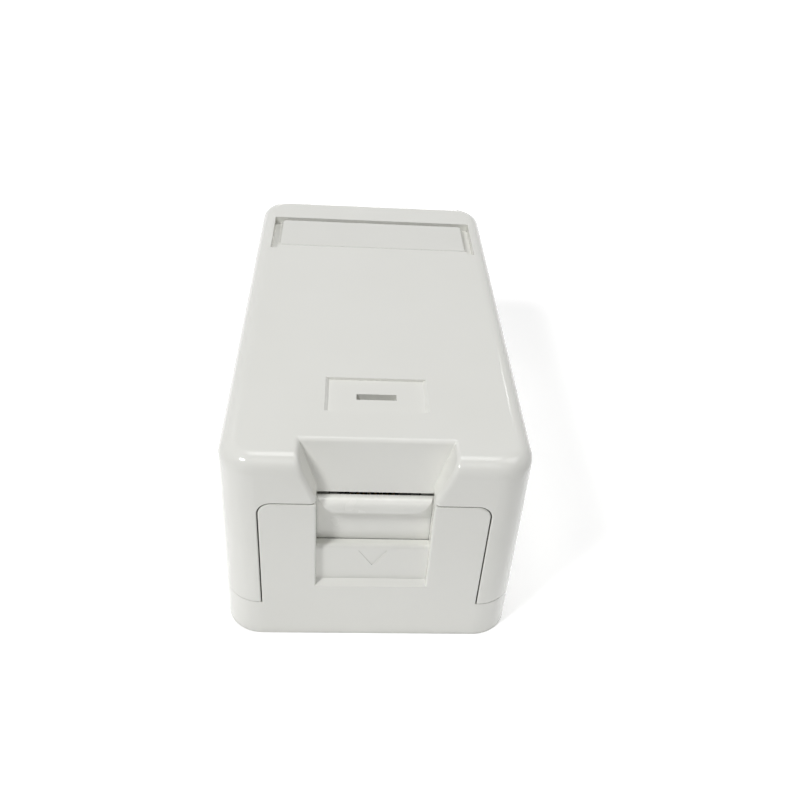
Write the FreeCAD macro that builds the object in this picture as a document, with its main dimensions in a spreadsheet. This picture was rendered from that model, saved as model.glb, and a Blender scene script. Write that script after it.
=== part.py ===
import FreeCAD, Part
import math
import os
import re

import Sketcher

# A surface mount box for one data jack: a base tray with an upstanding front plate, a sliding dust shutter
# in the plate's window, a snap-on cover with a label, and an eight-way snap-in jack behind the shutter.
# Frame: origin at the middle of the footprint on the mounting surface, +X to the right of someone who
# faces the window, +Y to the rear, +Z up. Lengths are in millimetres and angles in degrees.

SIZES = [
    # outside
    ("width", 49.8, "outside width at the foot"),
    ("length", 91.0, "outside length at the foot"),
    ("height", 40.0, "overall height"),
    ("corner_radius", 6.3, "upright corner radius at the foot"),
    ("draft", 0.7, "draft of the outer walls"),
    ("roof_edge_radius", 2.8, "rounding where walls meet roof"),
    ("foot_edge_radius", 0.25, "rounding of the foot edge"),
    ("wall", 2.0, "wall of cover and band"),
    ("roof", 2.4, "roof thickness"),
    ("floor", 2.2, "floor thickness"),
    ("band_height", 8.3, "height of the base band, where the cover starts"),
    ("seam", 0.12, "gap between band and cover"),
    ("rim_height", 2.0, "height of the locating rim above the band"),
    ("rim_wall", 1.2, "thickness of the locating rim"),
    ("rim_gap", 0.15, "gap between rim and cover"),
    # front plate and window
    ("plate_margin", 0.35, "flat stretch of the front between the plate and the corner's curve"),
    ("plate_drop", 8.7, "how far the front plate's top edge lies below the roof"),
    ("plate_corner", 2.2, "corner radius of the front plate"),
    ("plate_gap", 0.18, "gap between plate and cover"),
    ("plate_edge", 0.25, "rounding of the edges beside that gap"),
    ("window_width", 18.4, "width of the window"),
    ("window_edge", 0.4, "rounding of the window's upright edges"),
    ("window_height", 18.8, "height of the window from its sill to the plate's top edge"),
    ("sill_rise", 0.85, "rise of the sloped sill"),
    ("panel_depth", 1.33, "depth of the fixed lower panel"),
    ("panel_height", 8.7, "height of the fixed panel above the sill"),
    ("panel_edge", 0.7, "rounding of the fixed panel's top edge"),
    ("mark_width", 4.7, "width of the engraved arrow mark"),
    ("mark_height", 3.5, "height of the engraved arrow mark"),
    ("mark_drop", 1.0, "place of the arrow mark below the panel's top edge"),
    ("mark_depth", 0.1, "depth of the engraved arrow mark"),
    ("mark_line", 0.35, "line width of the arrow mark"),
    # shutter and its runners
    ("shutter_depth", 3.1, "depth of the shutter's face"),
    ("shutter_thickness", 1.4, "thickness of the shutter"),
    ("shutter_width", 20.8, "width of the shutter"),
    ("shutter_drop", 0.45, "how far the closed shutter's top edge lies below the plate's"),
    ("shutter_tail", 2.0, "length of shutter behind the fixed panel"),
    ("slide_gap", 0.12, "running gap round the shutter"),
    ("ear_width", 0.9, "width of the stop ears"),
    ("ear_height", 1.8, "height of the stop ears"),
    ("shutter_bevel", 1.0, "bevel behind the shutter's top edge"),
    ("lip_reach", 1.67, "reach of the finger lip"),
    ("lip_height", 2.05, "height of the finger lip"),
    ("lip_slant", 2.1, "slant of the lip's ends"),
    ("lip_radius", 1.5, "rounding of the lip's front"),
    ("stop_gap", 0.1, "gap left under the lip when the shutter is open"),
    ("runner_wall", 2.0, "side wall of the runners"),
    # funnel above the window
    ("funnel_straight", 1.2, "upright stretch of the funnel's flanks above the plate, below their flare"),
    ("funnel_top_width", 24.3, "width of the funnel at the roof"),
    ("funnel_top_depth", 6.13, "depth of the funnel at the roof"),
    ("funnel_foot_depth", 3.34, "depth of the funnel above the shutter"),
    ("funnel_wall", 1.5, "wall behind the funnel"),
    ("funnel_edge", 0.9, "rounding of the funnel's mouth"),
    # roof details
    ("release_width", 15.75, "width of the shallow release panel"),
    ("release_start", 13.05, "front of the release panel, behind the front face"),
    ("release_length", 8.9, "length of the release panel"),
    ("release_depth", 0.5, "depth of the release panel"),
    ("release_side", 0.6, "width of the release panel's sloping sides"),
    ("slot_width", 6.6, "width of the release slot"),
    ("slot_length", 1.5, "front-to-rear opening of the release slot"),
    ("slot_start", 16.65, "front of the release slot"),
    ("label_margin", 3.5, "distance of the label recess from the box's sides"),
    ("label_length", 14.1, "front-to-rear size of the label recess"),
    ("label_behind", 10.1, "distance of the label recess from the box's rear"),
    ("label_depth", 1.7, "depth of the label recess"),
    ("label_notch", 1.2, "how much further forward the recess's prising notches run"),
    ("label_front_gap", 0.3, "gap in front of the label window"),
    ("label_side_gap", 1.4, "gap beside the label window, the width of a prising notch"),
    ("label_rear_gap", 0.6, "gap behind the label window"),
    ("card_thickness", 0.3, "thickness of the label card"),
    ("card_inset", 0.8, "how far the card stays inside the window's edge"),
    ("label_window_thickness", 1.2, "thickness of the label window"),
    ("label_window_bevel", 0.5, "bevel round the label window's top"),
    ("label_window_corner", 1.2, "corner radius of the label window"),
    # jack frame in the base
    ("jack_depth", 5.6, "depth of the jack's face"),
    ("jack_width", 14.5, "width of the jack"),
    ("jack_height", 15.6, "height of the jack"),
    ("jack_rise", 1.7, "how far the jack's top stands above the front plate"),
    ("jack_gap", 0.1, "gap between jack and frame"),
    ("frame_depth", 6.4, "depth of the jack frame's front"),
    ("frame_wall", 2.0, "thickness of the jack frame"),
    ("frame_bar", 1.6, "height of the frame's top bar"),
    ("frame_post", 1.5, "width of the frame's posts above the plate"),
    ("gusset_length", 10.0, "length of the gussets behind the frame"),
    ("gusset_height", 16.0, "height of the gussets"),
    ("gusset_wall", 1.6, "thickness of the gussets"),
    # jack
    ("housing_length", 13.9, "front-to-rear length of the jack housing"),
    ("port_width", 11.9, "width of the plug cavity"),
    ("port_height", 6.9, "height of the plug cavity"),
    ("port_roof", 2.8, "thickness of the jack above the plug cavity"),
    ("port_depth", 12.5, "depth of the plug cavity"),
    ("tab_width", 6.2, "width of the tab channel"),
    ("tab_height", 1.2, "height of the tab channel"),
    ("tab_step_width", 3.9, "width of the step above the tab channel"),
    ("tab_step_height", 0.7, "height of the step above the tab channel"),
    ("trough_width", 9.6, "width of the trough for the contact wires"),
    ("trough_floor", 1.7, "thickness of the jack under the trough"),
    ("trough_start", 2.6, "front of the trough behind the jack's face"),
    ("hook_length", 2.2, "length of the fixed hook"),
    ("hook_height", 1.3, "height of the fixed hook"),
    ("hook_span", 11.6, "width of the fixed hook"),
    ("latch_width", 9.0, "width of the sprung latch"),
    ("latch_thickness", 1.1, "thickness of the sprung latch"),
    ("latch_gap", 1.5, "gap above the sprung latch"),
    ("shoulder", 0.9, "how far the shoulders stand out beside the housing"),
    ("carrier_thickness", 1.7, "thickness of the contact carrier"),
    ("carrier_gap", 0.1, "gap round the contact carrier"),
    ("comb_height", 0.7, "height of the carrier's comb"),
    ("contact_pitch", 1.02, "spacing of the contact wires"),
    ("contact_width", 0.46, "width of a contact wire"),
    ("contact_thickness", 0.35, "thickness of a contact wire"),
    ("contact_lift", 3.6, "rise of the contact wire's free end"),
    ("contact_end_gap", 0.6, "gap between a contact wire's free end and the end of the plug cavity"),
    ("board_gap", 0.1, "gap between housing and circuit board"),
    ("board_thickness", 1.2, "thickness of the circuit board"),
    ("board_inset", 0.25, "how much smaller the board is on each side"),
    ("block_thickness", 1.6, "thickness of the terminal block's plate"),
    ("tower_width", 4.6, "width of a terminal tower"),
    ("tower_length", 6.6, "length of a terminal tower"),
    ("tower_bevel", 0.5, "bevel at a tower's end"),
    ("wire_pitch", 3.6, "spacing of the wire slots"),
    ("wire_slot", 0.95, "width of a wire slot"),
    ("wire_slot_depth", 5.2, "depth of a wire slot"),
    ("blade_thickness", 0.4, "thickness of a terminal blade"),
    ("blade_width", 2.6, "width of a terminal blade"),
    ("blade_inset", 1.2, "how far a terminal blade ends inside its tower"),
    ("blade_slit", 0.32, "slit between a blade's tines"),
    ("blade_gap", 0.08, "gap round a terminal blade"),
    ("cap_wall", 0.9, "wall of a wire cap"),
    ("cap_gap", 0.1, "gap between wire cap and tower"),
    ("cap_end_gap", 0.35, "gap between a tower's end and its cap"),
    # cover snaps and release
    ("snap_width", 8.0, "width of a side snap"),
    ("snap_wall", 1.4, "thickness of a side snap"),
    ("snap_height", 17.0, "height of a side snap"),
    ("snap_bead", 0.55, "stand of the snap's bead"),
    ("snap_gap", 0.1, "gap between snap and cover"),
    ("snap_front", 38.0, "place of the front snaps behind the front face"),
    ("snap_behind", 15.0, "distance of the rear snaps' front edge from the box's rear"),
    ("catch_height", 1.2, "height of the cover's catch ribs"),
    ("bridge_start", 20.3, "front of the release bridge behind the front face"),
    ("bridge_length", 1.8, "thickness of the release bridge"),
    ("bridge_post", 1.5, "width of the release bridge's posts"),
    ("bridge_clear", 0.6, "gap between jack and release bridge"),
    ("bridge_roof_gap", 1.2, "gap between the release bridge and the roof"),
    ("hook_width", 5.6, "width of the release hook"),
    ("hook_thickness", 1.0, "thickness of the release hook"),
    ("release_gap", 0.12, "gap between the release hook and the cover's rib"),
    ("release_rib", 1.2, "thickness of the cover's release rib"),
    # fixing and cable
    ("screw_radius", 2.1, "radius of the fixing screw holes"),
    ("screw_head_radius", 4.0, "radius of the screw head seats"),
    ("screw_head_depth", 0.8, "depth of the screw head seats"),
    ("screw_spacing", 40.0, "spacing of the screw holes"),
    ("screw_behind", 10.0, "distance of the rear screw hole from the box's rear"),
    ("entry_width", 18.0, "width of the floor's cable entry"),
    ("entry_length", 10.0, "front-to-rear size of the floor's cable entry"),
    ("entry_start", 56.0, "front of the cable entry behind the front face"),
    ("tie_width", 9.0, "width of the cable-tie bridge"),
    ("tie_length", 4.0, "front-to-rear size of the cable-tie bridge"),
    ("tie_height", 4.6, "height of the cable-tie bridge"),
    ("tie_wall", 1.5, "wall of the cable-tie bridge"),
    ("tie_start", 48.5, "front of the cable-tie bridge"),
    ("knockout_width", 14.0, "width of the rear knock-out"),
    ("knockout_height", 8.0, "height of the rear knock-out in the cover"),
    ("knockout_line", 0.7, "width of the scored line"),
    ("knockout_web", 0.8, "wall left under the scored line"),
]

# Places that follow from the sizes. Heights are above the mounting surface, and starts behind the front.
PLACES = {
    "plate_width": "width - 2 * (corner_radius + plate_margin)",
    "plate_top": "height - plate_drop",
    "sill": "plate_top - window_height",
    "panel_top": "sill + panel_height",
    "shutter_top": "plate_top - shutter_drop",
    "funnel_start": "plate_top + funnel_straight",
    "jack_top": "plate_top + jack_rise",
    "jack_bottom": "jack_top - jack_height",
    "port_top": "jack_top - port_roof",
    "port_bottom": "port_top - port_height",
    "trough_bottom": "jack_bottom + trough_floor",
    "label_width": "width - 2 * label_margin",
    "label_start": "length - label_behind - label_length",
    "snap_rear": "length - snap_behind",
    "screw_front": "length - screw_behind - screw_spacing",
}

doc = FreeCAD.newDocument("surface_mount_jack_box")
sheet = doc.addObject("Spreadsheet::Sheet", "Sizes")
for row, (alias, number, note) in enumerate(SIZES, start=1):
    sheet.set(f"A{row}", note)
    sheet.set(f"B{row}", str(number))
    sheet.setAlias(f"B{row}", alias)
doc.recompute()

ALIASES = {alias for alias, number, note in SIZES}


def ref(expression):
    """The expression with each size's name turned into its cell and each place's name worked out."""
    def cell(word):
        if word[0] in PLACES:
            return f"({ref(PLACES[word[0]])})"
        return f"Sizes.{word[0]}" if word[0] in ALIASES else word[0]

    return re.sub(r"[a-z_]+", cell, expression)


def value(expression):
    """The number that an expression over the sizes has now."""
    return float(sheet.evalExpression(ref(expression)))


def depth(expression):
    """The Y place that lies a depth behind the box's front face."""
    return f"(-length / 2 + ({expression}))"


# Each plane's origin role and the sign of its normal along the world axis that it faces.
PLANES = {"top": ("XY_Plane", 1), "front": ("XZ_Plane", -1), "side": ("YZ_Plane", 1)}


def new_body(label):
    """An empty body named for its piece."""
    body = doc.addObject("PartDesign::Body", label)
    body.Label = label
    return body


def sketch(body, plane, place):
    """An empty sketch across the body: plane top is seen from above and placed by Z, plane front by Y
    and plane side by X."""
    role, sign = PLANES[plane]
    drawing = body.newObject("Sketcher::SketchObject", "sketch")
    origin_plane = [item for item in body.Origin.OriginFeatures if item.Role == role][0]
    drawing.AttachmentSupport = [(origin_plane, "")]
    drawing.MapMode = "FlatFace"
    drawing.setExpression("AttachmentOffset.Base.z", ref(f"{sign} * ({place})"))
    return drawing


def bind(drawing, constraint, expression):
    """Adds a constraint and ties its size to an expression."""
    index = drawing.addConstraint(constraint)
    drawing.setExpression(f"Constraints[{index}]", ref(expression))


def pin_point(drawing, geometry, end, across, up):
    """Ties one point of a sketch to its place."""
    bind(drawing, Sketcher.Constraint("DistanceX", -1, 1, geometry, end, value(across)), across)
    bind(drawing, Sketcher.Constraint("DistanceY", -1, 1, geometry, end, value(up)), up)


def outline(drawing, points):
    """A closed outline of straight lines through points, each a pair of expressions."""
    first = drawing.GeometryCount
    count = len(points)
    corners = [FreeCAD.Vector(value(across), value(up), 0) for across, up in points]
    for index in range(count):
        drawing.addGeometry(Part.LineSegment(corners[index], corners[(index + 1) % count]))
    for index, (across, up) in enumerate(points):
        following = first + (index + 1) % count
        drawing.addConstraint(Sketcher.Constraint("Coincident", first + index, 2, following, 1))
        pin_point(drawing, first + index, 1, across, up)


def rectangle(drawing, left, right, low, high):
    """A rectangle between four expressions."""
    outline(drawing, [(left, low), (right, low), (right, high), (left, high)])


def rounded_rectangle(drawing, left, right, low, high, radius):
    """A rectangle with its four corners rounded."""
    first = drawing.GeometryCount
    bend = value(radius)
    west, east, south, north = value(left), value(right), value(low), value(high)
    lines = [
        ((west + bend, south), (east - bend, south)),
        ((east, south + bend), (east, north - bend)),
        ((east - bend, north), (west + bend, north)),
        ((west, north - bend), (west, south + bend)),
    ]
    for start, end in lines:
        drawing.addGeometry(Part.LineSegment(FreeCAD.Vector(*start, 0), FreeCAD.Vector(*end, 0)))
    centres = [
        (f"({right}) - ({radius})", f"({low}) + ({radius})", -90),
        (f"({right}) - ({radius})", f"({high}) - ({radius})", 0),
        (f"({left}) + ({radius})", f"({high}) - ({radius})", 90),
        (f"({left}) + ({radius})", f"({low}) + ({radius})", 180),
    ]
    for index, (across, up, start) in enumerate(centres):
        circle = Part.Circle(FreeCAD.Vector(value(across), value(up), 0), FreeCAD.Vector(0, 0, 1), bend)
        arc = drawing.addGeometry(Part.ArcOfCircle(circle, math.radians(start), math.radians(start + 90)))
        drawing.addConstraint(Sketcher.Constraint("Tangent", first + index, 2, arc, 1))
        drawing.addConstraint(Sketcher.Constraint("Tangent", arc, 2, first + (index + 1) % 4, 1))
        pin_point(drawing, arc, 3, across, up)
        if index == 0:
            bind(drawing, Sketcher.Constraint("Radius", arc, bend), radius)


def round_hole(drawing, across, up, radius):
    """A circle about a point."""
    centre = FreeCAD.Vector(value(across), value(up), 0)
    index = drawing.addGeometry(Part.Circle(centre, FreeCAD.Vector(0, 0, 1), value(radius)))
    pin_point(drawing, index, 3, across, up)
    bind(drawing, Sketcher.Constraint("Radius", index, value(radius)), radius)


def extrude(body, kind, drawing, length, way, taper):
    """A pad or pocket of a sketch: way is +, - or both along the world axis that the sketch faces."""
    plane_sign = -1 if drawing.AttachmentSupport[0][0].Role == "XZ_Plane" else 1
    feature = body.newObject(f"PartDesign::{kind}", kind.lower())
    feature.Profile = drawing
    feature.setExpression("Length", ref(length))
    if way == "both":
        feature.SideType = "Symmetric"
    else:
        natural = plane_sign if kind == "Pad" else -plane_sign
        feature.Reversed = natural != (1 if way == "+" else -1)
    if taper:
        feature.setExpression("TaperAngle", ref(taper))
    drawing.Visibility = False
    body.Tip = feature
    return feature


def pad(body, drawing, length, way="+", taper=None):
    """Adds an extruded sketch to the body."""
    feature = extrude(body, "Pad", drawing, length, way, taper)
    doc.recompute()
    return feature


def pocket(body, drawing, length, way="+", taper=None):
    """Cuts an extruded sketch out of the body, and makes sure that something was cut."""
    before = body.Shape.Volume
    feature = extrude(body, "Pocket", drawing, length, way, taper)
    doc.recompute()
    if body.Shape.Volume > before - 1e-6:
        raise ValueError(f"{body.Label}: {feature.Name} cuts nothing")
    return feature


def block(body, left, right, front, rear, low, high):
    """Adds a block between six planes."""
    drawing = sketch(body, "top", low)
    rectangle(drawing, left, right, front, rear)
    return pad(body, drawing, f"({high}) - ({low})")


def space(body, left, right, front, rear, low, high):
    """Cuts a block-shaped space between six planes."""
    drawing = sketch(body, "top", low)
    rectangle(drawing, left, right, front, rear)
    return pocket(body, drawing, f"({high}) - ({low})")


def side_profile(body, points, width, cut=False, middle="0"):
    """Adds or cuts a profile drawn from the side, as wide as width about its middle."""
    drawing = sketch(body, "side", middle)
    outline(drawing, points)
    make = pocket if cut else pad
    return make(body, drawing, width, way="both")


def front_profile(body, points, front, rear, cut=False):
    """Adds or cuts a profile drawn from the front, between two depths."""
    drawing = sketch(body, "front", front)
    outline(drawing, points)
    make = pocket if cut else pad
    return make(body, drawing, f"({rear}) - ({front})")


def edges_where(body, test):
    """The names of the body's edges that pass a test of their own."""
    return [f"Edge{index}" for index, edge in enumerate(body.Shape.Edges, start=1) if test(edge)]


def dress(body, kind, names, size, amount):
    """A fillet or chamfer on named edges of the body's tip."""
    if not names:
        raise ValueError(f"{body.Label}: no edge for a {kind.lower()}")
    tip = body.Tip
    feature = body.newObject(f"PartDesign::{kind}", kind.lower())
    feature.Base = (tip, names)
    feature.setExpression(size, ref(amount))
    body.Tip = feature
    doc.recompute()
    return feature


def fillet(body, names, radius):
    """Rounds named edges."""
    return dress(body, "Fillet", names, "Radius", radius)


def chamfer(body, names, amount):
    """Bevels named edges."""
    return dress(body, "Chamfer", names, "Size", amount)


def near(number, expression, tolerance=1e-3):
    """Whether a measured number is an expression's value."""
    return abs(number - value(expression)) < tolerance


def flat_at(edge, height):
    """Whether an edge lies level at a height."""
    box = edge.BoundBox
    return near(box.ZMin, height) and near(box.ZMax, height)


HALF_WIDTH = "(width / 2)"
HALF_LENGTH = "(length / 2)"
FRONT = "(-length / 2)"
BEYOND = "(width + length)"


def envelope(body, top):
    """The box's drafted outer form, from the foot up to a height."""
    drawing = sketch(body, "top", "0")
    rounded_rectangle(drawing, f"-{HALF_WIDTH}", HALF_WIDTH, FRONT, HALF_LENGTH, "corner_radius")
    pad(body, drawing, top, taper="-draft")


# Places that several pieces share.
BACK_OF_PLATE = depth("wall")
RUNNER_FRONT = "(shutter_depth - slide_gap)"
RUNNER_REAR = "(shutter_depth + shutter_thickness + slide_gap)"
RUNNER_HALF = "(shutter_width / 2 + slide_gap)"
SHUTTER_BOTTOM = "(panel_top - shutter_tail)"
SHUTTER_TRAVEL = "(shutter_top - lip_height - panel_top - stop_gap)"
FUNNEL_FOOT = "(plate_top + plate_gap)"
FRAME_REAR = "(frame_depth + frame_wall)"
JACK_HALF = "(jack_width / 2)"
HOLE_HALF = "(jack_width / 2 + jack_gap)"
JACK_REAR = "(jack_depth + housing_length)"
BOARD_REAR = "(jack_depth + housing_length + board_gap + board_thickness)"
TOWER_FOOT = f"({BOARD_REAR} + block_thickness)"
TOWER_END = f"({TOWER_FOOT} + tower_length)"
TOWER_MIDDLE = f"({JACK_HALF} - tower_width / 2)"
TERMINAL_MIDDLE = "((jack_bottom + jack_top) / 2)"
LABEL_FLOOR = "(height - label_depth)"
RELEASE_LEDGE = "(slot_start + slot_length)"
BRIDGE_TOP = "(height - roof - bridge_roof_gap)"
CONTACTS = range(1, 9)
SIDES = {"left": "-1", "right": "1"}


def build_base():
    """The tray with its band, front plate, window, shutter runners and jack frame, moulded in one."""
    body = new_body("base")
    envelope(body, "plate_top")

    # Above the band only the front plate stays.
    drawing = sketch(body, "top", "plate_top")
    outline(drawing, [
        (f"-{BEYOND}", f"{FRONT} - wall"), ("-plate_width / 2", f"{FRONT} - wall"),
        ("-plate_width / 2", BACK_OF_PLATE), ("plate_width / 2", BACK_OF_PLATE),
        ("plate_width / 2", f"{FRONT} - wall"), (BEYOND, f"{FRONT} - wall"),
        (BEYOND, BEYOND), (f"-{BEYOND}", BEYOND),
    ])
    pocket(body, drawing, "plate_top - band_height", way="-")
    fillet(body, edges_where(body, lambda edge: near(edge.BoundBox.ZMin, "plate_top")
                             and near(edge.BoundBox.XLength, "0")
                             and edge.BoundBox.YLength > value("wall / 2")), "plate_corner")
    fillet(body, edges_where(body, lambda edge: flat_at(edge, "0")), "foot_edge_radius")

    # The tray is hollow down to its floor.
    drawing = sketch(body, "top", "floor")
    rounded_rectangle(drawing, f"-{HALF_WIDTH} + wall", f"{HALF_WIDTH} - wall",
                      BACK_OF_PLATE, f"{HALF_LENGTH} - wall", "corner_radius - wall")
    pocket(body, drawing, "band_height - floor")

    build_rim(body)
    build_window(body)
    build_jack_frame(body)
    build_release_bridge(body)
    build_snaps(body)
    build_floor_details(body)
    return body


def on_front(edge):
    """Whether an edge lies in the drafted front face, above the band and beside the window."""
    span = edge.LastParameter - edge.FirstParameter
    points = [edge.valueAt(edge.FirstParameter + share * span) for share in (0.01, 0.5, 0.99)]
    in_face = all(near(point.y, depth(f"{point.z} * tan(draft)"), 2e-3) for point in points)
    beside = min(abs(point.x) for point in points) > value("window_width / 2 + seam / 10")
    at_seam = flat_at(edge, "band_height") or flat_at(edge, "band_height + seam")
    return in_face and beside and not at_seam


def build_rim(body):
    """The locating rim just inside the cover's wall, and its stretch behind the front plate."""
    outer = "(wall + rim_gap + band_height * tan(draft))"
    inner = f"({outer} + rim_wall)"
    drawing = sketch(body, "top", "floor / 2")
    for inset in (outer, inner):
        rounded_rectangle(drawing, f"-{HALF_WIDTH} + {inset}", f"{HALF_WIDTH} - {inset}",
                          depth(inset), f"{HALF_LENGTH} - {inset}", f"corner_radius - {inset}")
    pad(body, drawing, "band_height + rim_height - floor / 2")
    block(body, "-plate_width / 2", "plate_width / 2", depth("wall / 2"), depth(f"{outer} + rim_wall / 2"),
          "floor / 2", "band_height + rim_height")


def build_window(body):
    """The window with its sloped sill, the fixed panel below it and the runners behind."""
    outer = f"({RUNNER_HALF} + ear_width + runner_wall)"
    block(body, f"-{outer}", outer, depth("wall / 2"), depth(FRAME_REAR), "floor / 2", "plate_top")

    # The window is cut to the runners above the fixed panel, and to the panel's face below it.
    side_profile(body, [
        (depth("-wall"), "sill"), (depth("0"), "sill"), (depth("panel_depth"), "sill + sill_rise"),
        (depth("panel_depth"), "panel_top"), (depth(RUNNER_FRONT), "panel_top"),
        (depth(RUNNER_FRONT), "plate_top + wall"), (depth("-wall"), "plate_top + wall"),
    ], "window_width", cut=True)
    fillet(body, edges_where(body, lambda edge: flat_at(edge, "panel_top")
                             and near(edge.BoundBox.YMin, depth("panel_depth"))
                             and near(edge.BoundBox.YMax, depth("panel_depth"))), "panel_edge")
    fillet(body, edges_where(body, lambda edge: on_front(edge)
                             and edge.BoundBox.ZMax > value("plate_top / 2")), "plate_edge")
    fillet(body, edges_where(body, lambda edge: near(abs(edge.BoundBox.Center.x), "window_width / 2")
                             and near(edge.BoundBox.XLength, "0")
                             and near(edge.BoundBox.ZMax, "plate_top")
                             and edge.BoundBox.YMax < value(depth("panel_depth"))), "window_edge")

    # The shutter slides in grooves, and its ears in deeper ones that end where it is closed.
    space(body, f"-{RUNNER_HALF}", RUNNER_HALF, depth(RUNNER_FRONT), depth(RUNNER_REAR),
          f"{SHUTTER_BOTTOM} - {SHUTTER_TRAVEL} - slide_gap", "plate_top + wall")
    space(body, f"-{RUNNER_HALF} - ear_width", f"{RUNNER_HALF} + ear_width",
          depth(RUNNER_FRONT), depth(RUNNER_REAR),
          f"{SHUTTER_BOTTOM} - {SHUTTER_TRAVEL} - slide_gap", f"{SHUTTER_BOTTOM} + ear_height + slide_gap")

    # A fine arrow is engraved in the fixed panel.
    mark_top = "(panel_top - mark_drop)"
    mark_foot = f"({mark_top} - mark_height)"
    drawing = sketch(body, "front", depth("panel_depth - mark_depth"))
    outline(drawing, [
        ("-mark_width / 2", mark_top), ("0", mark_foot), ("mark_width / 2", mark_top),
        ("mark_width / 2 - 2 * mark_line", f"{mark_top} - mark_line / 2"),
        ("0", f"{mark_foot} + 2 * mark_line"),
        ("-mark_width / 2 + 2 * mark_line", f"{mark_top} - mark_line / 2"),
    ])
    pocket(body, drawing, "2 * mark_depth")


def build_jack_frame(body):
    """The frame that the jack snaps into, open from the shutter to the rear."""
    post = f"({HOLE_HALF} + frame_post)"
    block(body, f"-{post}", post, depth("frame_depth"), depth(FRAME_REAR),
          "plate_top - frame_wall", "jack_top + jack_gap + frame_bar")
    space(body, f"-{HOLE_HALF}", HOLE_HALF, depth(RUNNER_FRONT), depth(f"{FRAME_REAR} + wall"),
          "jack_bottom - jack_gap", "jack_top + jack_gap")
    space(body, f"-{HOLE_HALF}", HOLE_HALF, depth(RUNNER_REAR), depth("frame_depth"),
          "floor", "jack_bottom")
    root, toe = depth(f"{FRAME_REAR} - frame_wall / 2"), depth(f"{FRAME_REAR} + gusset_length")
    for sign in SIDES.values():
        side_profile(body, [
            (root, "floor / 2"), (toe, "floor / 2"), (toe, "floor + gusset_wall"),
            (depth(FRAME_REAR), "gusset_height"), (root, "gusset_height"),
        ], "gusset_wall", middle=f"{sign} * ({HOLE_HALF} + shoulder + gusset_wall)")


def build_release_bridge(body):
    """The springy bridge over the jack, with the hook that the cover's release slot reaches."""
    inner = f"({JACK_HALF} + bridge_clear)"
    outer = f"({inner} + bridge_post)"
    rear = "(bridge_start + bridge_length)"
    drawing = sketch(body, "front", depth("bridge_start"))
    outline(drawing, [
        (f"-{outer}", "floor / 2"), (f"-{inner}", "floor / 2"), (f"-{inner}", "jack_top + bridge_clear"),
        (inner, "jack_top + bridge_clear"), (inner, "floor / 2"), (outer, "floor / 2"),
        (outer, BRIDGE_TOP), (f"-{outer}", BRIDGE_TOP),
    ])
    pad(body, drawing, "bridge_length")
    hook_front = f"({RELEASE_LEDGE} + release_gap)"
    hook_rear = f"({rear} - bridge_length / 2)"
    hook_foot = f"({BRIDGE_TOP} - hook_thickness)"
    side_profile(body, [
        (depth(hook_rear), BRIDGE_TOP), (depth(f"{hook_front} + hook_thickness / 2"), BRIDGE_TOP),
        (depth(hook_front), f"{BRIDGE_TOP} - hook_thickness / 2"), (depth(hook_front), hook_foot),
        (depth(hook_rear), hook_foot),
    ], "hook_width")


def snap_places():
    """The front edge of each pair of side snaps, as depths."""
    return ["snap_front", "snap_rear"]


COVER_INSIDE = "(width / 2 - wall - snap_height * tan(draft))"
CATCH_FACE = f"({COVER_INSIDE} - snap_bead)"
SNAP_FACE = f"({CATCH_FACE} - snap_gap - snap_bead)"
CATCH_TOP = "(snap_height - 3 * snap_bead - snap_gap)"


def build_snaps(body):
    """Four upright tongues inside the rim, each with a bead that stands over a rib of the cover."""
    tip = f"({SNAP_FACE} + snap_bead)"
    root = f"({HALF_WIDTH} - wall - rim_gap - rim_wall)"
    for sign in SIDES.values():
        for place in snap_places():
            points = [
                (f"{SNAP_FACE} - snap_wall", "floor / 2"), (root, "floor / 2"),
                (root, "band_height + rim_height"), (SNAP_FACE, "band_height + rim_height"),
                (SNAP_FACE, f"{CATCH_TOP} + snap_gap"), (tip, f"{CATCH_TOP} + snap_gap + snap_bead / 2"),
                (tip, f"{CATCH_TOP} + snap_gap + snap_bead"), (SNAP_FACE, "snap_height"),
                (f"{SNAP_FACE} - snap_wall", "snap_height"),
            ]
            signed = [(f"{sign} * ({across})", up) for across, up in points]
            front_profile(body, signed, depth(place), depth(f"{place} + snap_width"))


def build_floor_details(body):
    """Screw holes with head seats, the cable entry and the cable-tie bridge."""
    places = [depth("screw_front"), depth("screw_front + screw_spacing")]
    for radius, low in (("screw_radius", "-floor"), ("screw_head_radius", "floor - screw_head_depth")):
        drawing = sketch(body, "top", low)
        for place in places:
            round_hole(drawing, "0", place, radius)
        pocket(body, drawing, "3 * floor")
    drawing = sketch(body, "top", "-floor")
    rounded_rectangle(drawing, "-entry_width / 2", "entry_width / 2",
                      depth("entry_start"), depth("entry_start + entry_length"), "entry_length / 4")
    pocket(body, drawing, "3 * floor")
    block(body, "-tie_width / 2", "tie_width / 2", depth("tie_start"), depth("tie_start + tie_length"),
          "floor / 2", "floor + tie_height")
    space(body, "-tie_width / 2 + tie_wall", "tie_width / 2 - tie_wall", depth("tie_start - tie_wall"),
          depth("tie_start + tie_length + tie_wall"), "floor", "floor + tie_height - tie_wall")


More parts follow.
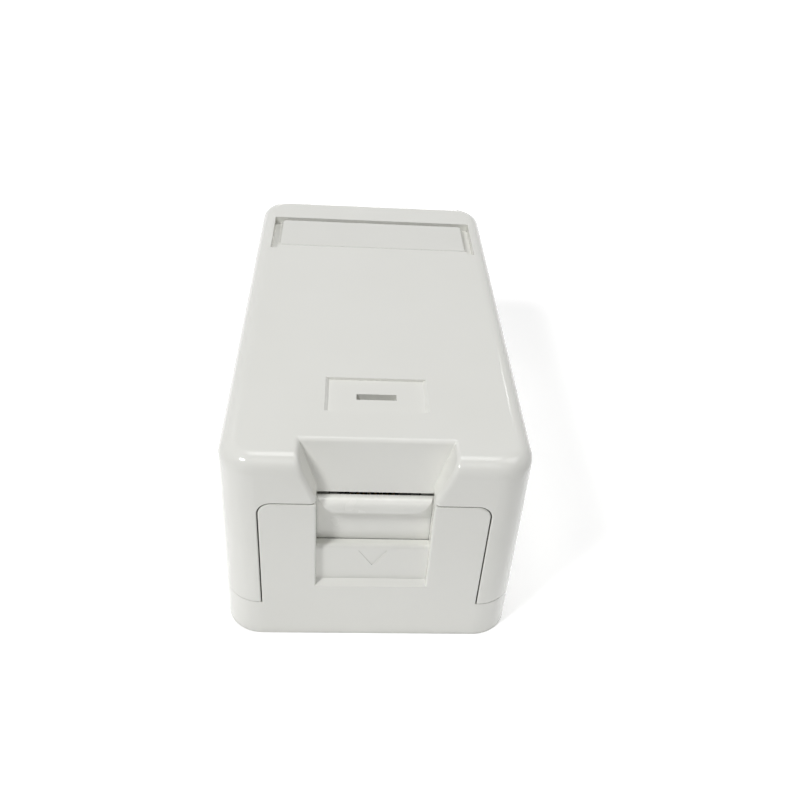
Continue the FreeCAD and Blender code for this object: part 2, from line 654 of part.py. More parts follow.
def build_shutter():
    """The dust shutter: a plate with a finger lip in front and a stop ear on each side."""
    body = new_body("shutter")
    drawing = sketch(body, "front", depth("shutter_depth"))
    half, ear = "shutter_width / 2", "(shutter_width / 2 + ear_width)"
    ear_top = f"({SHUTTER_BOTTOM} + ear_height)"
    outline(drawing, [
        (f"-{ear}", SHUTTER_BOTTOM), (ear, SHUTTER_BOTTOM), (ear, ear_top), (half, ear_top),
        (half, "shutter_top"), (f"-{half}", "shutter_top"), (f"-{half}", ear_top), (f"-{ear}", ear_top),
    ])
    pad(body, drawing, "shutter_thickness")
    lip_half = "(window_width / 2 - 1.5 * slide_gap)"
    front_profile(body, [
        (f"-{lip_half}", "shutter_top"), (f"-{lip_half} + lip_slant", "shutter_top - lip_height"),
        (f"{lip_half} - lip_slant", "shutter_top - lip_height"), (lip_half, "shutter_top"),
    ], depth("shutter_depth - lip_reach"), depth("shutter_depth + shutter_thickness / 2"))
    for dressing, place, amount in (
        (fillet, "shutter_depth - lip_reach", "lip_radius"),
        (chamfer, "shutter_depth + shutter_thickness", "shutter_bevel"),
    ):
        dressing(body, edges_where(body, lambda edge: flat_at(edge, "shutter_top")
                                   and near(edge.BoundBox.YMin, depth(place))
                                   and near(edge.BoundBox.YMax, depth(place))), amount)
    return body


def funnel_half(up):
    """Half the funnel's width at a height where its flanks flare."""
    rise = f"({up} - funnel_start) / (height - funnel_start)"
    return f"((window_width + (funnel_top_width - window_width) * {rise}) / 2)"


def funnel_depth(up):
    """The depth of the funnel's back at a height."""
    rise = f"({up} - plate_top) / (height - plate_top)"
    return f"(funnel_foot_depth + (funnel_top_depth - funnel_foot_depth) * {rise})"


def build_cover():
    """The shell: roof and walls in one, with the funnel, the release slot and the label recess."""
    body = new_body("cover")
    envelope(body, "height")
    fillet(body, edges_where(body, lambda edge: flat_at(edge, "height")), "roof_edge_radius")
    space(body, f"-{BEYOND}", BEYOND, f"-{BEYOND}", BEYOND, "-floor", "band_height + seam")
    drawing = sketch(body, "top", "0")
    rounded_rectangle(drawing, f"-{HALF_WIDTH} + wall", f"{HALF_WIDTH} - wall",
                      depth("wall"), f"{HALF_LENGTH} - wall", "corner_radius - wall")
    pocket(body, drawing, "height - roof", taper="-draft")

    # The front wall is cut away round the base's front plate.
    drawing = sketch(body, "front", depth("-wall"))
    rounded_rectangle(drawing, "-plate_width / 2 - plate_gap", "plate_width / 2 + plate_gap",
                      "-plate_top", FUNNEL_FOOT, "plate_corner + plate_gap")
    pocket(body, drawing, "2.5 * wall")

    build_funnel(body)
    build_roof_details(body)
    build_cover_ribs(body)
    build_knockout(body)
    return body


def on_funnel(edge):
    """Whether an edge is on the mouth of the funnel: round a flank, or along the back's top."""
    span = edge.LastParameter - edge.FirstParameter
    points = [edge.valueAt(edge.FirstParameter + share * span) for share in (0.1, 0.5, 0.9)]
    if min(point.z for point in points) < value(FUNNEL_FOOT) + value("plate_gap") / 10:
        return False
    start = value("funnel_start")
    flank = all(near(abs(point.x), funnel_half(max(point.z, start)), 2e-3) for point in points)
    back = all(near(point.y, depth(funnel_depth(point.z)), 2e-3) for point in points)
    return flank != back and (flank or flat_at(edge, "height"))


def on_cut_out(edge):
    """Whether an edge is on the outside of the cut-out round the base's front plate."""
    box = edge.BoundBox
    reach = max(abs(box.XMin), abs(box.XMax))
    return (on_front(edge) and reach < value("plate_width / 2 + 2 * plate_gap")
            and box.ZMax < value(f"{FUNNEL_FOOT} + plate_gap / 2"))


def build_funnel(body):
    """The funnel in the front edge that leaves room for a finger on the plug's tab."""
    half = "(funnel_top_width / 2 + funnel_wall)"
    back = "(funnel_top_depth + funnel_wall)"
    block(body, f"-{half}", half, depth("0.75 * wall"), depth(back), FUNNEL_FOOT, "height - roof / 2")
    foot = "(plate_top - wall)"
    side_profile(body, [
        (depth("-wall"), foot), (depth(funnel_depth(foot)), foot),
        (depth(funnel_depth("funnel_start")), "funnel_start"), (depth("-wall"), "funnel_start"),
    ], "window_width", cut=True)
    sections = []
    for up in ("funnel_start", "(height + wall)"):
        drawing = sketch(body, "top", up)
        rectangle(drawing, f"-{funnel_half(up)}", funnel_half(up), depth("-wall"), depth(funnel_depth(up)))
        drawing.Visibility = False
        sections.append(drawing)
    before = body.Shape.Volume
    loft = body.newObject("PartDesign::SubtractiveLoft", "loft")
    loft.Profile = sections[0]
    loft.Sections = sections[1:]
    loft.Ruled = True
    body.Tip = loft
    doc.recompute()
    if body.Shape.Volume > before - 1e-6:
        raise ValueError("the funnel cuts nothing")
    fillet(body, edges_where(body, on_funnel), "funnel_edge")
    fillet(body, edges_where(body, on_cut_out), "plate_edge")

    # Behind the funnel's back only its wall stays, so that the jack frame has room.
    low, high = "(plate_top - wall)", "(height - roof)"
    side_profile(body, [
        (depth(f"{funnel_depth(low)} + funnel_wall"), low), (depth(f"{back} + wall"), low),
        (depth(f"{back} + wall"), high), (depth(f"{funnel_depth(high)} + funnel_wall"), high),
    ], f"2 * ({HOLE_HALF} + frame_post + 2 * rim_gap)", cut=True)


def build_roof_details(body):
    """The shallow release panel with its slot, and the label recess with a prising notch at each end."""
    half, mouth = "(release_width / 2)", "(release_width / 2 + release_side)"
    front_profile(body, [
        (f"-{half}", "height - release_depth"), (half, "height - release_depth"), (mouth, "height"),
        (mouth, "height + wall"), (f"-{mouth}", "height + wall"), (f"-{mouth}", "height"),
    ], depth("release_start"), depth("release_start + release_length"), cut=True)
    space(body, "-slot_width / 2", "slot_width / 2", depth("slot_start"),
          depth("slot_start + slot_length"), "height - 2 * roof", "height + wall")
    half, shelf = "(label_width / 2)", "(label_width / 2 - label_side_gap)"
    notch, front = depth("label_start"), depth("label_start + label_notch")
    rear = depth("label_start + label_length")
    drawing = sketch(body, "top", LABEL_FLOOR)
    outline(drawing, [
        (f"-{half}", notch), (f"-{shelf}", notch), (f"-{shelf}", front), (shelf, front),
        (shelf, notch), (half, notch), (half, rear), (f"-{half}", rear),
    ])
    pocket(body, drawing, "label_depth + wall")


def build_cover_ribs(body):
    """The rib that the release hook holds, and the ribs that the side snaps hold."""
    ledge_top = f"({BRIDGE_TOP} - hook_thickness - release_gap)"
    rib_front = "(slot_start - release_rib)"
    side_profile(body, [
        (depth(rib_front), "height - roof / 2"), (depth(rib_front), f"{ledge_top} - release_rib"),
        (depth(RELEASE_LEDGE), f"{ledge_top} - release_rib"), (depth(RELEASE_LEDGE), ledge_top),
        (depth("slot_start"), ledge_top), (depth("slot_start"), "height - roof / 2"),
    ], "hook_width")
    for sign in SIDES.values():
        for place in snap_places():
            points = [
                (CATCH_FACE, CATCH_TOP), (CATCH_FACE, f"{CATCH_TOP} - catch_height / 2"),
                (f"{COVER_INSIDE} + wall / 2", f"{CATCH_TOP} - catch_height - wall / 2"),
                (f"{COVER_INSIDE} + wall / 2", CATCH_TOP),
            ]
            signed = [(f"{sign} * ({across})", up) for across, up in points]
            front_profile(body, signed, depth(place), depth(f"{place} + snap_width"))


def build_knockout(body):
    """The scored line round the part of the rear wall that breaks out for a cable."""
    outer, top = "(knockout_width / 2)", "(band_height + knockout_height)"
    inner, under = f"({outer} - knockout_line)", f"({top} - knockout_line)"
    front_profile(body, [
        (f"-{outer}", "0"), (f"-{inner}", "0"), (f"-{inner}", under), (inner, under), (inner, "0"),
        (outer, "0"), (outer, top), (f"-{outer}", top),
    ], f"{HALF_LENGTH} - wall + knockout_web - {top} * tan(draft)", f"{HALF_LENGTH} + wall", cut=True)


def build_label():
    """The paper card in the recess, and the label window over it."""
    card = new_body("label_card")
    across = "(label_width / 2 - label_side_gap)"
    front = depth("label_start + label_notch + label_front_gap")
    rear = depth("label_start + label_length - label_rear_gap")
    block(card, f"-{across} + card_inset", f"{across} - card_inset", f"{front} + card_inset",
          f"{rear} - card_inset", LABEL_FLOOR, f"{LABEL_FLOOR} + card_thickness")
    window = new_body("label_window")
    foot = f"({LABEL_FLOOR} + card_thickness)"
    top = f"({foot} + label_window_thickness)"
    block(window, f"-{across}", across, front, rear, foot, top)
    fillet(window, edges_where(window, lambda edge: near(edge.BoundBox.ZLength, "label_window_thickness")),
           "label_window_corner")
    chamfer(window, edges_where(window, lambda edge: flat_at(edge, top)), "label_window_bevel")
    return [card, window]


def build_jack_housing():
    """The jack's moulding: plug cavity, tab channel, wire trough, fixed hook and sprung latch."""
    body = new_body("jack_housing")
    face, back = depth("jack_depth"), depth(JACK_REAR)
    block(body, f"-{JACK_HALF}", JACK_HALF, face, back, "jack_bottom", "jack_top")
    wide = f"({JACK_HALF} + shoulder)"
    block(body, f"-{wide}", wide, depth(FRAME_REAR), depth(f"{FRAME_REAR} + frame_wall"),
          "jack_bottom + frame_wall", "plate_top - frame_wall")
    side_profile(body, [
        (depth(FRAME_REAR), "jack_top - hook_height"), (depth(FRAME_REAR), "jack_top + hook_height"),
        (depth(f"{FRAME_REAR} + hook_length / 2"), "jack_top + hook_height"),
        (depth(f"{FRAME_REAR} + hook_length"), "jack_top"),
        (depth(f"{FRAME_REAR} + hook_length"), "jack_top - hook_height"),
    ], "hook_span")
    arm_top = "(jack_bottom - latch_gap)"
    side_profile(body, [
        (back, "jack_bottom + latch_thickness"), (back, f"{arm_top} - latch_thickness"),
        (depth(f"{FRAME_REAR} + jack_gap"), f"{arm_top} - latch_thickness"),
        (depth(f"{FRAME_REAR} + jack_gap"), "jack_bottom - 2 * jack_gap"),
        (depth(f"{FRAME_REAR} + latch_gap"), arm_top), (f"{back} - latch_thickness", arm_top),
        (f"{back} - latch_thickness", "jack_bottom + latch_thickness"),
    ], "latch_width")
    cavity_end = depth("jack_depth + port_depth")
    mouth = depth("jack_depth - wall")
    space(body, "-port_width / 2", "port_width / 2", mouth, cavity_end, "port_bottom", "port_top")
    space(body, "-tab_width / 2", "tab_width / 2", mouth, cavity_end, "port_top", "port_top + tab_height")
    space(body, "-tab_step_width / 2", "tab_step_width / 2", mouth, cavity_end,
          "port_top + tab_height", "port_top + tab_height + tab_step_height")
    space(body, "-trough_width / 2", "trough_width / 2", depth("jack_depth + trough_start"),
          f"{back} + wall", "trough_bottom", "port_bottom")
    return body


def contact_place(number):
    """The X place of a contact wire."""
    return f"(({number} - 4.5) * contact_pitch)"


def build_contact_carrier():
    """The insert under the contact wires, with a comb that keeps them apart."""
    body = new_body("contact_carrier")
    half = "(trough_width / 2 - carrier_gap)"
    front = depth("jack_depth + trough_start + carrier_gap")
    top = "(trough_bottom + carrier_thickness)"
    block(body, f"-{half}", half, front, f"{depth(JACK_REAR)} - carrier_gap", "trough_bottom", top)
    drawing = sketch(body, "top", f"{top} - comb_height")
    for gap in range(9):
        middle = f"({contact_place(gap)} + contact_pitch / 2)"
        tooth = "((contact_pitch - contact_width) / 2 - carrier_gap / 2)"
        rectangle(drawing, f"{middle} - {tooth}", f"{middle} + {tooth}",
                  f"{front} + contact_pitch", f"{front} + 3 * contact_pitch")
    pad(body, drawing, "2 * comb_height")
    return body


def build_contact_wire(number):
    """One sprung wire: along the carrier, round the front bend and up into the plug cavity."""
    body = new_body(f"contact_wire_{number}")
    low = "(trough_bottom + carrier_thickness)"
    bend = "(jack_depth + trough_start + 3 * contact_thickness)"
    tip = "(jack_depth + port_depth - contact_end_gap)"
    tail = "(jack_depth + housing_length + board_gap)"
    thick = "contact_thickness"
    nose, inside = f"({bend} - {thick})", f"({bend} + {thick} / 2)"
    side_profile(body, [
        (depth(tail), low), (depth(bend), low), (depth(nose), f"{low} + {thick}"),
        (depth(nose), f"{low} + 2 * {thick}"), (depth(bend), f"{low} + 3 * {thick}"),
        (depth(tip), f"{low} + 3 * {thick} + contact_lift"),
        (depth(tip), f"{low} + 2 * {thick} + contact_lift"),
        (depth(inside), f"{low} + 2 * {thick}"), (depth(inside), f"{low} + {thick}"),
        (depth(tail), f"{low} + {thick}"),
    ], "contact_width", middle=contact_place(number))
    return body


def build_circuit_board():
    """The board between the contact wires and the terminals."""
    body = new_body("circuit_board")
    half = f"({JACK_HALF} - board_inset)"
    block(body, f"-{half}", half, depth(f"{JACK_REAR} + board_gap"), depth(BOARD_REAR),
          "jack_bottom + board_inset", "jack_top - board_inset")
    return body


def terminal_height(number):
    """The Z place of a terminal: 1 to 4 go up the left tower and 5 to 8 up the right one."""
    return f"({TERMINAL_MIDDLE} + ({(number - 1) % 4} - 1.5) * wire_pitch)"


def terminal_side(number):
    """The X place of a terminal's tower."""
    return f"{SIDES['left'] if number <= 4 else SIDES['right']} * {TOWER_MIDDLE}"


def build_idc_block():
    """The terminal moulding: a plate with two towers, each cut by four wire slots and four blade seats."""
    body = new_body("idc_block")
    block(body, f"-{JACK_HALF}", JACK_HALF, depth(BOARD_REAR), depth(TOWER_FOOT), "jack_bottom", "jack_top")
    for sign in SIDES.values():
        middle = f"{sign} * {TOWER_MIDDLE}"
        block(body, f"{middle} - tower_width / 2", f"{middle} + tower_width / 2",
              depth(f"{TOWER_FOOT} - block_thickness / 2"), depth(TOWER_END), "jack_bottom", "jack_top")
    chamfer(body, edges_where(body, lambda edge: near(edge.BoundBox.YMin, depth(TOWER_END))), "tower_bevel")
    drawing = sketch(body, "front", depth(f"{TOWER_END} - wire_slot_depth"))
    for number in range(1, 5):
        middle = terminal_height(number)
        rectangle(drawing, f"-{JACK_HALF} - wall", f"{JACK_HALF} + wall",
                  f"{middle} - wire_slot / 2", f"{middle} + wire_slot / 2")
    pocket(body, drawing, "wire_slot_depth + wall")
    drawing = sketch(body, "front", depth(f"{BOARD_REAR} - wall"))
    half_thick, half_wide = "(blade_thickness / 2 + blade_gap)", "(blade_width / 2 + blade_gap)"
    for number in CONTACTS:
        across, up = terminal_side(number), terminal_height(number)
        rectangle(drawing, f"{across} - {half_thick}", f"{across} + {half_thick}",
                  f"{up} - {half_wide}", f"{up} + {half_wide}")
    pocket(body, drawing, f"{TOWER_END} - {BOARD_REAR} + 2 * wall")
    return body


def build_idc_blade(number):
    """One slotted terminal: a plate with two tines and a flared mouth between them."""
    body = new_body(f"idc_blade_{number}")
    middle = terminal_height(number)
    foot, end = depth(BOARD_REAR), depth(f"{TOWER_END} - blade_inset")
    half, slit = "blade_width / 2", "blade_slit / 2"
    side_profile(body, [
        (foot, f"{middle} - {half}"), (foot, f"{middle} + {half}"), (end, f"{middle} + {half}"),
        (end, f"{middle} + 4 * {slit}"), (f"{end} - blade_inset", f"{middle} + {slit}"),
        (f"{foot} + blade_width", f"{middle} + {slit}"), (f"{foot} + blade_width", f"{middle} - {slit}"),
        (f"{end} - blade_inset", f"{middle} - {slit}"), (end, f"{middle} - 4 * {slit}"),
        (end, f"{middle} - {half}"),
    ], "blade_thickness", middle=terminal_side(number))
    return body


def build_wire_cap(side):
    """The cap that presses over one tower and keeps its wires down."""
    body = new_body(f"wire_cap_{side}")
    middle = f"{SIDES[side]} * {TOWER_MIDDLE}"
    inner, low, high = "(tower_width / 2 + cap_gap)", "jack_bottom - cap_gap", "jack_top + cap_gap"
    front = depth(f"{TOWER_END} - wire_slot_depth")
    seat = depth(f"{TOWER_END} + cap_end_gap")
    block(body, f"{middle} - {inner} - cap_wall", f"{middle} + {inner} + cap_wall", front,
          f"{seat} + cap_wall", f"{low} - cap_wall", f"{high} + cap_wall")
    space(body, f"{middle} - {inner}", f"{middle} + {inner}", f"{front} - wall", seat, low, high)
    drawing = sketch(body, "front", f"{front} - wall")
    for number in range(1, 5):
        at = terminal_height(number)
        rectangle(drawing, f"{middle} - {inner} - wall", f"{middle} + {inner} + wall",
                  f"{at} - wire_slot / 2", f"{at} + wire_slot / 2")
    pocket(body, drawing, "wire_slot_depth / 2 + wall")
    return body


pieces = [build_base(), build_cover(), build_shutter(), *build_label(), build_jack_housing(),
          build_contact_carrier(), build_circuit_board(), build_idc_block()]
pieces += [build_contact_wire(number) for number in CONTACTS]
pieces += [build_idc_blade(number) for number in CONTACTS]
pieces += [build_wire_cap(side) for side in SIDES]
doc.recompute()

for item in doc.Objects:
    if "Invalid" in item.State or "Error" in item.State:
        raise ValueError(f"{item.Label} did not build")
os.makedirs("parts", exist_ok=True)
for piece in pieces:
    if piece.Shape.isNull() or not piece.Shape.isValid() or piece.Shape.Volume <= 0:
        raise ValueError(f"{piece.Label} is not a sound solid")
    piece.Shape.exportStep(f"parts/{piece.Label}.step")
    print(f"{piece.Label}: {len(piece.Shape.Solids)} solid, {piece.Shape.Volume:.1f} mm3")
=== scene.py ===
"""A surface box for one data socket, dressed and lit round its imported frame.

Lengths are in metres, and the sizes of surface patterns in millimetres.
"""

import bpy
from mathutils import Matrix, Vector


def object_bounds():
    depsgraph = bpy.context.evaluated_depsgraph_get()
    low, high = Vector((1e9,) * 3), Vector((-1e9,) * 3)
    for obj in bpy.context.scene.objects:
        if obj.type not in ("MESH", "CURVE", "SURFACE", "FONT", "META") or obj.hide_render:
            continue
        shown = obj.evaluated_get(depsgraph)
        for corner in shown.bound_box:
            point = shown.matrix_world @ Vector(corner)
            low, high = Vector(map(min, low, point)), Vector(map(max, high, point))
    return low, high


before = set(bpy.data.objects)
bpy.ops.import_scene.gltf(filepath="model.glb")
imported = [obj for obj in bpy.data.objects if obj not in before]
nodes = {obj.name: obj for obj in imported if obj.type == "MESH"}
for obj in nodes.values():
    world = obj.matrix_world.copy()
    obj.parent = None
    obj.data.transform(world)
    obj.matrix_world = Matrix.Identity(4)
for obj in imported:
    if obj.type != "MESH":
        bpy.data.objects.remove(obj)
cad_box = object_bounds()
low, high = cad_box
middle = (low + high) / 2

MM = 0.001
WHITE = (1, 1, 1, 1)

# A Mix node's colour sockets go by number, because its sockets for plain values have the same names.
MIX_FIRST, MIX_SECOND, MIX_RESULT = 6, 7, 2

# Nearly all of a noise texture's values lie between these two.
NOISE_LOW, NOISE_HIGH = 0.3, 0.7

# A surface keeps its own colour where at least the open share of the space within reach is free,
# and is darkened with painted shade where no more than the closed share is.
# The dark grey painted in as shade in seams and at the foot of recesses.
SEAM_SHADE_COLOUR = "#6E6C66"
CLOSED_SHARE = 0.1
SEAM_REACH, SEAM_OPEN_SHARE = 0.5 * MM, 0.45
RECESS_REACH, RECESS_OPEN_SHARE = 1.5 * MM, 0.85

SHELL_SHADES = ("#ECECE6", "#F1F1EC")

# How high ripples and fibres stand at full strength, and how many times longer than wide rolling lines are.
RELIEF_HEIGHT = 0.02 * MM
LINE_STRETCH = 12.5

# Round the box the floor shows this share of white by itself, and from the far radius on all of it.
FLOOR_REACH = 4.0
FLOOR_GLOW = 0.44
GLOW_RISES_FROM, GLOW_FULL_FROM = 0.15, 0.6

# The surround looks pure white, but lights the box with this strength only.
SURROUND_STRENGTH = 0.05

MIDDLE = (0.0, 0.0, 0.0)
SKYWARD = (0.0, 0.0, 1.0)

# Each lamp's name, its place and aim from the middle of the box, the side of its square, and its watts.
# The two small ones behind give pinpoint reflections, and the one at the table returns light upward.
LAMPS = [
    ("key", (-0.313, -0.272, 0.461), MIDDLE, 0.11, 1.66),
    ("front", (0.0, -0.35, 0.55), MIDDLE, 0.30, 0.28),
    ("overhead", (0.0, 0.15, 0.63), MIDDLE, 0.30, 0.96),
    ("right", (0.35, 0.0, 0.55), MIDDLE, 0.30, 0.62),
    ("rear", (0.0, 0.50, 0.075), MIDDLE, 0.18, 0.24),
    ("table", (0.0, 0.0, -0.0195), SKYWARD, 0.30, 0.052),
    ("rear left", (-0.236, 0.42, 0.39), MIDDLE, 0.03, 0.02),
    ("rear right", (0.21, 0.46, 0.36), MIDDLE, 0.03, 0.02),
]

# The camera stands a little to the left of the window, above the roof, and is turned slightly.
CAMERA_PLACE = Vector((-5.62, -137.61, 124.77)) * MM
CAMERA_RIGHT = Vector((0.9973, -0.03706, 0.06331))
CAMERA_FORWARD = Vector((0.06822, 0.78572, -0.6148))
LENS_MM = 37.98
SENSOR_MM = 36.0


# ---------------------------------------------------------------- nodes and colours

def srgb(code):
    """A hex colour as linear red, green, blue and alpha."""
    shades = [int(code[place:place + 2], 16) / 255 for place in (1, 3, 5)]
    linear = [shade / 12.92 if shade <= 0.04045 else ((shade + 0.055) / 1.055) ** 2.4 for shade in shades]
    return (*linear, 1.0)


def per_metre(size_mm):
    """The texture scale whose pattern repeats about every size_mm."""
    return 1 / (size_mm * MM)


def add(owner, kind, settings=None, inputs=None):
    """Adds a node to a material or world, with its inputs as values or as links from other sockets."""
    tree = owner.node_tree
    node = tree.nodes.new(kind)
    for name, value in (settings or {}).items():
        setattr(node, name, value)
    for name, value in (inputs or {}).items():
        if isinstance(value, bpy.types.NodeSocket):
            tree.links.new(value, node.inputs[name])
        else:
            node.inputs[name].default_value = value
    return node


def link(owner, output, shader, socket):
    """Feeds a shader socket from another node's output."""
    owner.node_tree.links.new(output, shader.inputs[socket])


def new_material(name, **values):
    """A material, its Principled shader with these plain values, and the place on the surface."""
    material = bpy.data.materials.new(name)
    material.use_nodes = True
    shader = material.node_tree.nodes["Principled BSDF"]
    for socket, value in values.items():
        shader.inputs[socket.replace("_", " ")].default_value = value
    place = add(material, "ShaderNodeTexCoord").outputs["Object"]
    return material, shader, place


# ---------------------------------------------------------------- what the finishes share

def two_shades(material, place, first, second, size_mm, detail=2.0):
    """Two close colours that drift into each other over about size_mm."""
    drift = add(material, "ShaderNodeTexNoise", inputs={
        "Vector": place, "Scale": per_metre(size_mm), "Detail": detail})
    return add(material, "ShaderNodeMix", {"data_type": "RGBA"}, {
        "Factor": drift.outputs["Fac"],
        MIX_FIRST: srgb(first), MIX_SECOND: srgb(second)}).outputs[MIX_RESULT]


def rough_between(material, place, smooth, rough, size_mm):
    """A roughness that wanders between two values over about size_mm."""
    patches = add(material, "ShaderNodeTexNoise", inputs={
        "Vector": place, "Scale": per_metre(size_mm), "Detail": 3.0})
    return add(material, "ShaderNodeMapRange", inputs={
        "Value": patches.outputs["Fac"], "From Min": NOISE_LOW, "From Max": NOISE_HIGH,
        "To Min": smooth, "To Max": rough}).outputs["Result"]


def fine_relief(material, place, shader, size_mm, detail, strength):
    """Shallow bumps about size_mm across, which soften reflections."""
    relief = add(material, "ShaderNodeTexNoise", inputs={
        "Vector": place, "Scale": per_metre(size_mm), "Detail": detail})
    bump = add(material, "ShaderNodeBump", inputs={
        "Height": relief.outputs["Fac"], "Strength": strength, "Distance": RELIEF_HEIGHT})
    link(material, bump.outputs["Normal"], shader, "Normal")


def painted_corner_shade(material, own_colour, reach, open_share):
    """A colour darkened by painted shade in seams and at the foot of recesses, where the space around is
    closed in.
    """
    corners = add(material, "ShaderNodeAmbientOcclusion", {"samples": 8}, {"Distance": reach})
    unshaded_share = add(material, "ShaderNodeMapRange", inputs={
        "Value": corners.outputs["AO"], "From Min": CLOSED_SHARE, "From Max": open_share})
    return add(material, "ShaderNodeMix", {"data_type": "RGBA"}, {
        "Factor": unshaded_share.outputs["Result"],
        MIX_FIRST: srgb(SEAM_SHADE_COLOUR), MIX_SECOND: own_colour}).outputs[MIX_RESULT]


# ---------------------------------------------------------------- finishes

def moulded_plastic(name, shades, smooth, rough):
    """Injection-moulded plastic from a polished tool: glossy, with a faint ripple and painted shade in its
    seams.
    """
    material, shader, place = new_material(name, IOR=1.53)
    own_colour = two_shades(material, place, *shades, size_mm=18)
    # The base colour carries painted shade in seams and in the gaps between parts.
    link(material, painted_corner_shade(material, own_colour, SEAM_REACH, SEAM_OPEN_SHARE), shader, "Base Color")
    link(material, rough_between(material, place, smooth, rough, size_mm=7), shader, "Roughness")
    fine_relief(material, place, shader, size_mm=2.6, detail=1.5, strength=0.12)
    return material


def milky_styrene():
    """Milky polystyrene: a polished skin over a clouded body that hides most of the card under it."""
    material, shader, place = new_material("milky polystyrene", IOR=1.59, Alpha=0.95)
    own_colour = two_shades(material, place, "#EEEEE8", "#F2F2ED", size_mm=9)
    # The base colour carries painted shade round the window's edges in its recess.
    link(material, painted_corner_shade(material, own_colour, RECESS_REACH, RECESS_OPEN_SHARE), shader, "Base Color")
    link(material, rough_between(material, place, 0.12, 0.2, size_mm=5), shader, "Roughness")
    return material


def natural_polycarbonate():
    """Uncoloured polycarbonate: milky and half clear."""
    material, shader, place = new_material("natural polycarbonate", IOR=1.58, Transmission_Weight=0.45)
    link(material, two_shades(material, place, "#DFE5E7", "#EEF1F1", size_mm=4), shader, "Base Color")
    link(material, rough_between(material, place, 0.25, 0.4, size_mm=3), shader, "Roughness")
    return material


def white_card():
    """Uncoated white card: matt, with fibres about half a millimetre long."""
    material, shader, place = new_material("white card", Specular_IOR_Level=0.25, Roughness=0.85)
    fibrous = two_shades(material, place, "#EBEBE7", "#F2F2EF", size_mm=0.5, detail=6.0)
    link(material, fibrous, shader, "Base Color")
    fine_relief(material, place, shader, size_mm=0.5, detail=8.0, strength=0.4)
    return material


def glass_filled_nylon():
    """Black glass-filled nylon: dull, with a mottle of short fibres, drawn coarse enough to show."""
    material, shader, place = new_material("black glass-filled nylon", IOR=1.53)
    mottled = two_shades(material, place, "#1B1B1D", "#2A2A2C", size_mm=0.6, detail=6.0)
    link(material, mottled, shader, "Base Color")
    link(material, rough_between(material, place, 0.42, 0.6, size_mm=0.8), shader, "Roughness")
    return material


def plated_strip(name, shades, smooth, rough):
    """Plated spring strip: bright metal with rolling lines along it, drawn coarse enough to show."""
    material, shader, place = new_material(name, Metallic=1.0)
    link(material, two_shades(material, place, *shades, size_mm=1.5), shader, "Base Color")
    lengthwise = add(material, "ShaderNodeMapping", inputs={
        "Vector": place, "Scale": (1.0, 1 / LINE_STRETCH, 1.0)})
    lines = rough_between(material, lengthwise.outputs["Vector"], smooth, rough, size_mm=0.3)
    link(material, lines, shader, "Roughness")
    return material


def solder_mask():
    """Green solder mask over glass-fibre board, whose weave shows as a fine check about 0.7 mm wide."""
    material, shader, place = new_material(
        "green solder mask", IOR=1.5, Coat_Weight=0.3, Coat_Roughness=0.15)
    weave = add(material, "ShaderNodeTexChecker", inputs={
        "Vector": place, "Scale": per_metre(0.7), "Color1": srgb("#0F5A33"), "Color2": srgb("#0C4E2C")})
    link(material, weave.outputs["Color"], shader, "Base Color")
    link(material, rough_between(material, place, 0.25, 0.4, size_mm=2), shader, "Roughness")
    return material


finishes = {
    "base": moulded_plastic("white ABS tray", SHELL_SHADES, 0.12, 0.20),
    "cover": moulded_plastic("white ABS cover", SHELL_SHADES, 0.10, 0.17),
    "shutter": moulded_plastic("white ABS shutter", SHELL_SHADES, 0.18, 0.28),
    "jack_housing": moulded_plastic("white polycarbonate jack", ("#E6E6E2", "#ECECE9"), 0.25, 0.36),
    "idc_block": moulded_plastic("white polycarbonate terminals", ("#E2E2DE", "#E9E9E6"), 0.25, 0.36),
    "contact_carrier": glass_filled_nylon(),
    "circuit_board": solder_mask(),
    "label_card": white_card(),
    "label_window": milky_styrene(),
    "wire_cap": natural_polycarbonate(),
    "contact_wire": plated_strip("gold-plated bronze", ("#E2B457", "#EBC470"), 0.12, 0.24),
    "idc_blade": plated_strip("tinned bronze", ("#C9CBCC", "#D6D8D8"), 0.22, 0.38),
}


def finish_of(name):
    """The finish for a node: its own, or the one that its numbered or sided copies share."""
    return finishes.get(name) or finishes[name.rsplit("_", 1)[0]]


for name, node in nodes.items():
    node.data.materials.clear()
    node.data.materials.append(finish_of(name))


# ---------------------------------------------------------------- floor, light and camera

def seen_or_mirrored(owner):
    """1 for what the camera sees directly, in a reflection or through something clear, otherwise 0."""
    ray = add(owner, "ShaderNodeLightPath")
    mirrored = add(owner, "ShaderNodeMath", {"operation": "MAXIMUM"}, {
        0: ray.outputs["Is Camera Ray"], 1: ray.outputs["Is Glossy Ray"]})
    return add(owner, "ShaderNodeMath", {"operation": "MAXIMUM"}, {
        0: mirrored.outputs[0], 1: ray.outputs["Is Transmission Ray"]}).outputs[0]


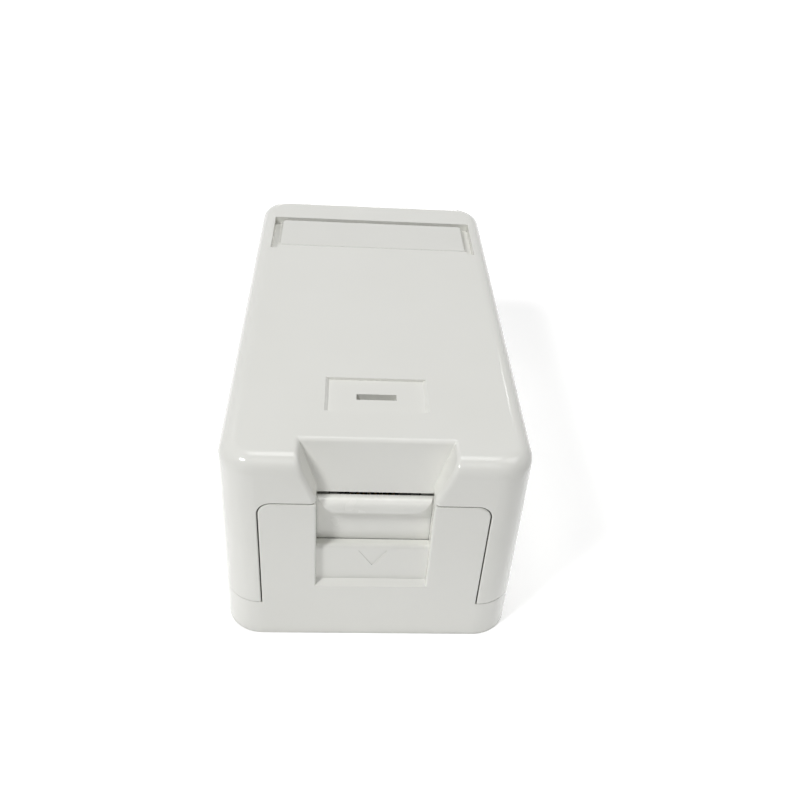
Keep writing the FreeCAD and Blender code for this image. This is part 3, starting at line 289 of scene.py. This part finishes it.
def pale_floor():
    """A matt white sheet that shows some light of its own, up to pure white away from the box."""
    material, shader, place = new_material("pale floor", Roughness=0.9, Specular_IOR_Level=0.2)
    link(material, two_shades(material, place, "#FBFBFB", "#FFFFFF", size_mm=40), shader, "Base Color")
    away = add(material, "ShaderNodeVectorMath", {"operation": "LENGTH"}, {0: place})
    glow = add(material, "ShaderNodeMapRange", inputs={
        "Value": away.outputs["Value"], "From Min": GLOW_RISES_FROM, "From Max": GLOW_FULL_FROM,
        "To Min": FLOOR_GLOW, "To Max": 1.0})
    strength = add(material, "ShaderNodeMath", {"operation": "MULTIPLY"}, {
        0: seen_or_mirrored(material), 1: glow.outputs["Result"]})
    shader.inputs["Emission Color"].default_value = WHITE
    link(material, strength.outputs[0], shader, "Emission Strength")
    return material


def make_floor():
    """A broad sheet under the box."""
    mesh = bpy.data.meshes.new("floor")
    corners = [(-FLOOR_REACH, -FLOOR_REACH), (FLOOR_REACH, -FLOOR_REACH),
               (FLOOR_REACH, FLOOR_REACH), (-FLOOR_REACH, FLOOR_REACH)]
    mesh.from_pydata([(across, along, low.z) for across, along in corners], [], [(0, 1, 2, 3)])
    floor = bpy.data.objects.new("floor", mesh)
    bpy.context.scene.collection.objects.link(floor)
    floor.data.materials.append(pale_floor())


def make_surround():
    """An even white surround, which lights the box only a little."""
    world = bpy.data.worlds.new("surround")
    world.use_nodes = True
    background = world.node_tree.nodes["Background"]
    background.inputs["Color"].default_value = WHITE
    level = add(world, "ShaderNodeMapRange", inputs={
        "Value": seen_or_mirrored(world), "To Min": SURROUND_STRENGTH, "To Max": 1.0})
    link(world, level.outputs["Result"], background, "Strength")
    bpy.context.scene.world = world


def make_lamp(name, place, aim, size, watts):
    """A square soft lamp that the camera doesn't see."""
    data = bpy.data.lights.new(name, "AREA")
    data.size = size
    data.energy = watts
    lamp = bpy.data.objects.new(name, data)
    lamp.location = middle + Vector(place)
    lamp.rotation_euler = (middle + Vector(aim) - lamp.location).to_track_quat("-Z", "Y").to_euler()
    lamp.visible_camera = False
    bpy.context.scene.collection.objects.link(lamp)


def make_camera():
    """The camera, held square to its own line of sight."""
    data = bpy.data.cameras.new("camera")
    data.lens = LENS_MM
    data.sensor_width = SENSOR_MM
    camera = bpy.data.objects.new("camera", data)
    forward = CAMERA_FORWARD.normalized()
    up = CAMERA_RIGHT.cross(forward).normalized()
    right = forward.cross(up)
    turn = Matrix((right, up, -forward)).transposed()
    camera.matrix_world = Matrix.Translation(CAMERA_PLACE) @ turn.to_4x4()
    bpy.context.scene.collection.objects.link(camera)
    bpy.context.scene.camera = camera


make_floor()
make_surround()
for lamp in LAMPS:
    make_lamp(*lamp)
make_camera()
bpy.context.scene.view_settings.view_transform = "Standard"
